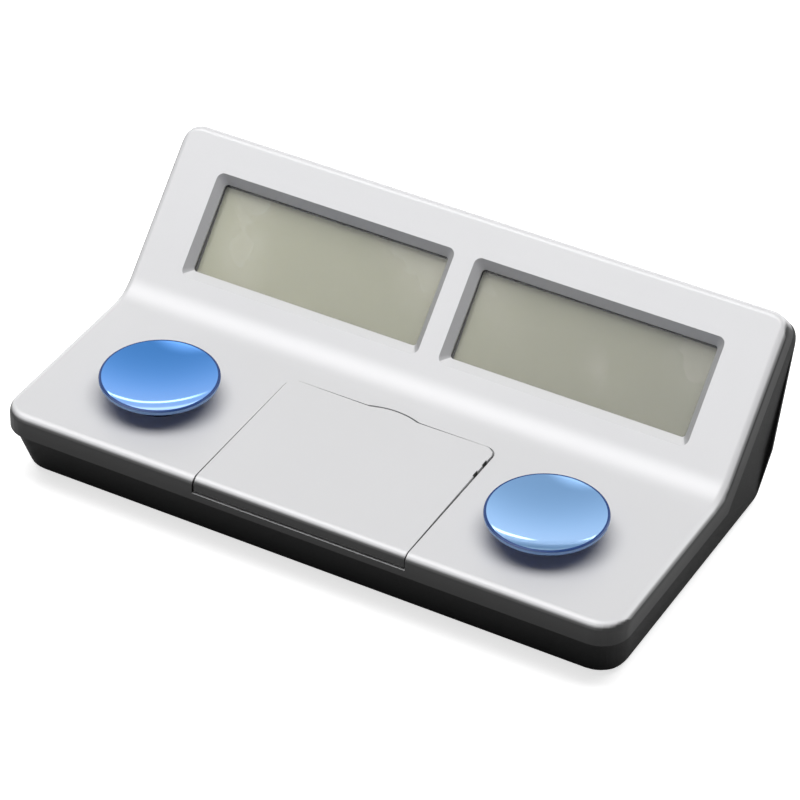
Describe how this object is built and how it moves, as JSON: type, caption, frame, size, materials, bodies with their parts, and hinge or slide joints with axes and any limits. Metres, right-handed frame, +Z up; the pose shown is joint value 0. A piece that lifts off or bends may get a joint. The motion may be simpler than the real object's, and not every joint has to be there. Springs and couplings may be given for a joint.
{
  "type": "game clock",
  "caption": "Wedge-shaped game clock with a leaning panel of two displays, a round dished push button on each side and a lid over its set keys.",
  "frame": {"origin": "on the resting plane, under the centre of the clock's bounding box", "axes": "+X to the right along the clock's width, +Y from the front edge towards the displays, +Z up"},
  "size_m": [0.2, 0.1176, 0.062],
  "materials": {
    "silver_paint": "satin silver paint on the upper faces, charcoal on the rim",
    "black_plastic": "fine matt grain",
    "blue_plastic": "polished",
    "dark_blue_plastic": "smooth",
    "clear_lens": "clear",
    "display_grey": "grey-green liquid-crystal glass",
    "frame_plastic": "matt",
    "strip_rubber": "soft",
    "tray_plastic": "matt",
    "key_rubber": "soft",
    "board_green": "solder resist",
    "steel": "plated",
    "cell_wrap": "plain sleeve",
    "brass": "plain",
    "foot_rubber": "matt"
  },
  "bodies": {
    "case": {"battery_bridge_plate": "steel", "battery_cell_1": "cell_wrap", "battery_cell_2": "cell_wrap", "battery_coil_1": "steel", "battery_coil_2": "steel", "battery_negative_plate": "steel", "battery_positive_plate": "steel", "buzzer": "brass", "control_chip": "frame_plastic", "display_board": "board_green", "display_screw_1": "steel", "display_screw_2": "steel", "display_screw_3": "steel", "display_screw_4": "steel", "housing_screw_1": "steel", "housing_screw_2": "steel", "housing_screw_3": "steel", "housing_screw_4": "steel", "key_tray": "tray_plastic", "keypad_sheet": "key_rubber", "left_button_switch": "frame_plastic", "left_contact_strip": "strip_rubber", "left_display_frame": "frame_plastic", "left_display_glass": "display_grey", "left_return_spring": "steel", "left_window_lens": "clear_lens", "lid_hinge_pin_left": "steel", "lid_hinge_pin_right": "steel", "lower_housing": "black_plastic", "main_board": "board_green", "right_button_switch": "frame_plastic", "right_contact_strip": "strip_rubber", "right_display_frame": "frame_plastic", "right_display_glass": "display_grey", "right_return_spring": "steel", "right_window_lens": "clear_lens", "rubber_foot_1": "foot_rubber", "rubber_foot_2": "foot_rubber", "rubber_foot_3": "foot_rubber", "rubber_foot_4": "foot_rubber", "top_cover": "silver_paint"},
    "left_button": {"left_button_cap": "blue_plastic", "left_button_stem": "dark_blue_plastic"},
    "right_button": {"right_button_cap": "blue_plastic", "right_button_stem": "dark_blue_plastic"},
    "lid": {"setting_lid": "silver_paint"},
    "door": {"battery_door": "black_plastic"},
    "key_1": {"set_key_1": "key_rubber"},
    "key_2": {"set_key_2": "key_rubber"},
    "key_3": {"set_key_3": "key_rubber"},
    "key_4": {"set_key_4": "key_rubber"}
  },
  "joints": [
    {"name": "lid_hinge", "type": "hinge", "parent": "case", "child": "lid", "pos_m": [0, -0.05701, 0.0207], "axis": [1, 0, 0], "range_deg": [0, 110]},
    {"name": "left_button_press", "type": "slide", "parent": "case", "child": "left_button", "axis": [0, 0, -1], "range_m": [0, 0.0025], "stiffness_N_per_m": 300, "springref_m": -0.003, "deforming": ["left_return_spring"]},
    {"name": "right_button_press", "type": "slide", "parent": "case", "child": "right_button", "axis": [0, 0, -1], "range_m": [0, 0.0025], "stiffness_N_per_m": 300, "springref_m": -0.003, "deforming": ["right_return_spring"]},
    {"name": "key_1_press", "type": "slide", "parent": "case", "child": "key_1", "axis": [0, 0, -1], "range_m": [0, 0.0008], "stiffness_N_per_m": 400, "springref_m": -0.0008},
    {"name": "key_2_press", "type": "slide", "parent": "case", "child": "key_2", "axis": [0, 0, -1], "range_m": [0, 0.0008], "stiffness_N_per_m": 400, "springref_m": -0.0008},
    {"name": "key_3_press", "type": "slide", "parent": "case", "child": "key_3", "axis": [0, 0, -1], "range_m": [0, 0.0008], "stiffness_N_per_m": 400, "springref_m": -0.0008},
    {"name": "key_4_press", "type": "slide", "parent": "case", "child": "key_4", "axis": [0, 0, -1], "range_m": [0, 0.0008], "stiffness_N_per_m": 400, "springref_m": -0.0008},
    {"name": "door_hinge", "type": "hinge", "parent": "case", "child": "door", "pos_m": [0, 0.01564, 0.0012], "axis": [-1, 0, 0], "range_deg": [0, 90]}
  ]
}
